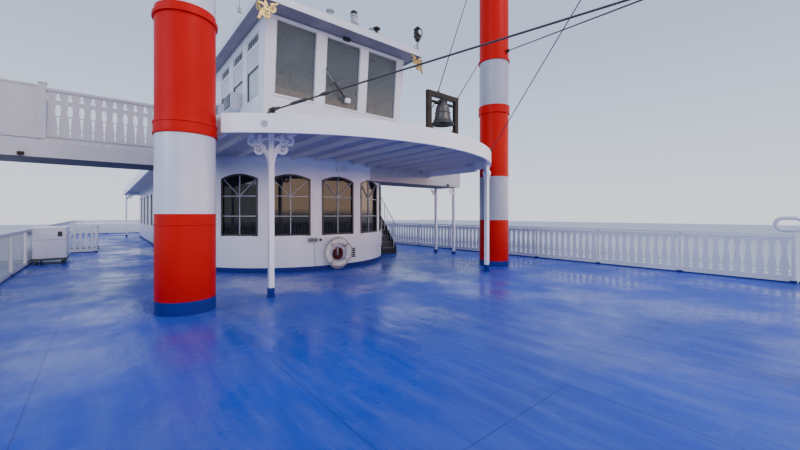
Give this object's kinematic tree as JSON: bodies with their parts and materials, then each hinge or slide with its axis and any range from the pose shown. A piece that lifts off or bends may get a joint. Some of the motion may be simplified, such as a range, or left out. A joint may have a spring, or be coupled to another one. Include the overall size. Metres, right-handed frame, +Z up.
{
  "type": "sternwheel paddle boat, 1:2 scale model",
  "caption": "Three-deck sternwheel paddle boat afloat on its whole flat-bottomed hull, with tall banded stacks, round-fronted cabin, pilothouse, turning paddle wheel, rudders, bell and doors.",
  "frame": {"origin": "under the middle of the boat's length and breadth, on the underside of the flat bottom", "axes": "+X to the bow, +Y to port, +Z up"},
  "size_m": [24, 7, 8.7],
  "materials": {
    "hull_paint": "satin",
    "deck_paint": "gloss",
    "white_paint": "satin",
    "rail_paint": "painted satin",
    "stack_paint": "gloss",
    "wheel_paint": "painted satin",
    "black_iron": "matte",
    "bell_bronze": "weathered",
    "ring_plastic": "satin",
    "stair_steel": "satin",
    "wire": "dull",
    "varnished_wood": "varnished",
    "engine_iron": "painted"
  },
  "bodies": {
    "boat": {"hull": "hull_paint", "main_deck": "deck_paint", "second_deck": "deck_paint", "third_deck": "deck_paint", "main_house_port": "white_paint", "main_house_starboard": "white_paint", "main_house_front": "white_paint", "main_house_aft": "white_paint", "second_house_port": "white_paint", "second_house_starboard": "white_paint", "second_house_front": "white_paint", "second_house_aft": "white_paint", "cabin_front_wall": "white_paint", "cabin_wall_port": "white_paint", "cabin_wall_starboard": "white_paint", "cabin_wall_aft": "white_paint", "cabin_roof": "white_paint", "bridge_wing_port": "white_paint", "bridge_wing_starboard": "white_paint", "pilothouse_front": "white_paint", "pilothouse_port": "white_paint", "pilothouse_starboard": "white_paint", "pilothouse_aft": "white_paint", "pilothouse_roof": "white_paint", "stack_port": "stack_paint", "stack_starboard": "stack_paint", "second_rail_port": "rail_paint", "second_rail_starboard": "rail_paint", "second_rail_front": "rail_paint", "second_rail_aft": "rail_paint", "third_rail_port": "rail_paint", "third_rail_starboard": "rail_paint", "third_rail_front": "rail_paint", "third_rail_aft": "rail_paint", "main_rail_port": "rail_paint", "main_rail_starboard": "rail_paint", "fore_posts": "rail_paint", "bow_bulwark": "rail_paint", "wheel_beam_port": "white_paint", "wheel_beam_starboard": "white_paint", "bell_frame": "black_iron", "life_ring": "ring_plastic", "deck_locker": "white_paint", "stair_to_second_deck": "stair_steel", "stair_to_third_deck": "stair_steel", "stair_to_roof": "stair_steel", "foremast": "white_paint", "stay_stack": "wire", "stay_pilothouse": "wire", "helm_console": "varnished_wood", "engine_block": "engine_iron"},
    "paddle_wheel": {"paddle_wheel": "wheel_paint"},
    "rudder_port": {"rudder_port": "hull_paint"},
    "rudder_starboard": {"rudder_starboard": "hull_paint"},
    "bell": {"bell": "bell_bronze"},
    "door_main_house": {"door_main_house": "varnished_wood"},
    "door_second_house": {"door_second_house": "varnished_wood"},
    "door_cabin_starboard": {"door_cabin_starboard": "varnished_wood"},
    "door_cabin_port": {"door_cabin_port": "varnished_wood"},
    "door_pilothouse": {"door_pilothouse": "varnished_wood"}
  },
  "joints": [
    {"name": "wheel_spin", "type": "hinge", "parent": "boat", "child": "paddle_wheel", "pos_m": [-10.7, 0, 1.6], "axis": [0, 1, 0], "continuous": true},
    {"name": "rudder_port_turn", "type": "hinge", "parent": "boat", "child": "rudder_port", "pos_m": [-8.65, 1.15, 0.2], "axis": [0, 0, 1], "range_deg": [-40, 40]},
    {"name": "rudder_starboard_turn", "type": "hinge", "parent": "boat", "child": "rudder_starboard", "pos_m": [-8.65, -1.15, 0.2], "axis": [0, 0, 1], "range_deg": [-40, 40]},
    {"name": "bell_swing", "type": "hinge", "parent": "boat", "child": "bell", "pos_m": [6.525, 0.275, 5.955], "axis": [0, 1, 0], "range_deg": [-40, 40]},
    {"name": "door_main_house_swing", "type": "hinge", "parent": "boat", "child": "door_main_house", "pos_m": [6.4073, -0.2235, 1.75], "axis": [0, 0, -1], "range_deg": [0, 90]},
    {"name": "door_second_house_swing", "type": "hinge", "parent": "boat", "child": "door_second_house", "pos_m": [6.6573, -0.2235, 3.175], "axis": [0, 0, -1], "range_deg": [0, 90]},
    {"name": "door_cabin_starboard_swing", "type": "hinge", "parent": "boat", "child": "door_cabin_starboard", "pos_m": [1.0765, -1.5473, 4.6], "axis": [0, 0, -1], "range_deg": [0, 90]},
    {"name": "door_cabin_port_swing", "type": "hinge", "parent": "boat", "child": "door_cabin_port", "pos_m": [1.5235, 1.5473, 4.6], "axis": [0, 0, -1], "range_deg": [0, 90]},
    {"name": "door_pilothouse_swing", "type": "hinge", "parent": "boat", "child": "door_pilothouse", "pos_m": [2.6927, 0.1235, 6.15], "axis": [0, 0, -1], "range_deg": [0, 90]}
  ],
  "couplings": [
    {"joint": "rudder_starboard_turn", "follows": "rudder_port_turn", "ratio": 1}
  ]
}
